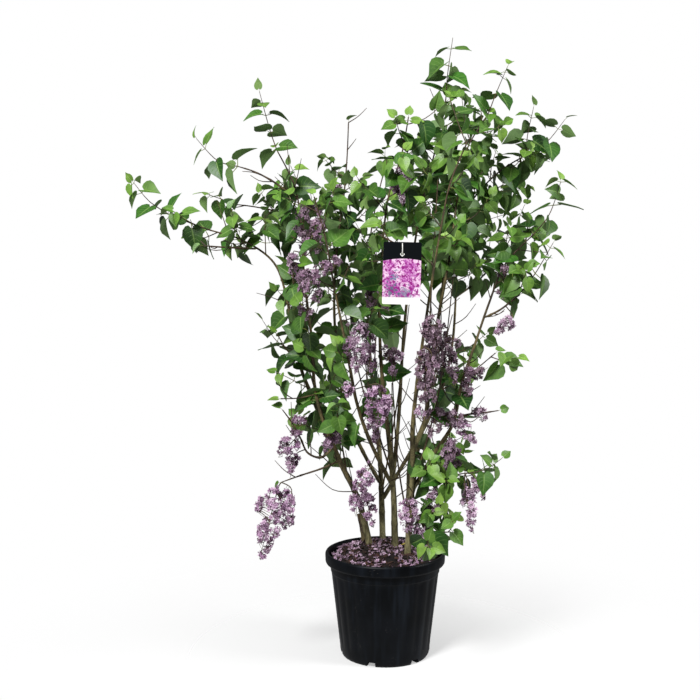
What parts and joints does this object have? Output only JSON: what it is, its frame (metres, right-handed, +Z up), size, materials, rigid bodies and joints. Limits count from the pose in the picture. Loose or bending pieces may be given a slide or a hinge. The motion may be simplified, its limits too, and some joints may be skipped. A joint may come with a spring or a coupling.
{
  "type": "potted lilac",
  "caption": "Bushy flowering lilac shrub with heart-shaped leaves and mauve flower panicles, standing in a round black nursery pot, with a printed plant label tied to a branch.",
  "frame": {"origin": "centre of the pot's underside, on the surface it stands on", "axes": "+Z up along the pot's axis and the plant; -Y is the side the label faces; +X to the right of a viewer at -Y"},
  "size_m": [1.0898, 0.6683, 1.5257],
  "materials": {
    "pot_plastic": "satin",
    "compost": "matte",
    "bark": "matte",
    "leaf": "satin",
    "flower": "matte",
    "label_card": "satin",
    "tie_plastic": "satin"
  },
  "bodies": {
    "root": {"pot": "pot_plastic", "compost": "compost", "cane_01": "bark", "cane_02": "bark", "cane_03": "bark", "cane_04": "bark", "cane_05": "bark", "cane_06": "bark", "cane_07": "bark", "cane_08": "bark", "cane_09": "bark", "cane_10": "bark", "cane_11": "bark", "cane_12": "bark", "pruned_stub": "bark", "branch_01": "bark", "branch_02": "bark", "branch_03": "bark", "branch_04": "bark", "branch_05": "bark", "branch_06": "bark", "branch_07": "bark", "branch_08": "bark", "branch_09": "bark", "branch_10": "bark", "branch_11": "bark", "branch_12": "bark", "branch_13": "bark", "branch_14": "bark", "branch_15": "bark", "label_tie": "tie_plastic", "label_card": "label_card", "panicle_01": "flower", "panicle_02": "flower", "panicle_03": "flower", "panicle_04": "flower", "panicle_05": "flower", "panicle_06": "flower", "panicle_07": "flower", "panicle_08": "flower", "panicle_09": "flower", "panicle_10": "flower", "panicle_11": "flower", "panicle_12": "flower", "panicle_13": "flower", "panicle_14": "flower", "panicle_15": "flower", "panicle_16": "flower", "leafy_shoot_01": "leaf", "leafy_shoot_02": "leaf", "leafy_shoot_03": "leaf", "leafy_shoot_04": "leaf", "leafy_shoot_05": "leaf", "leafy_shoot_06": "leaf", "leafy_shoot_07": "leaf", "leafy_shoot_08": "leaf", "leafy_shoot_09": "leaf", "leafy_shoot_10": "leaf", "leafy_shoot_11": "leaf", "leafy_shoot_12": "leaf"}
  },
  "joints": []
}
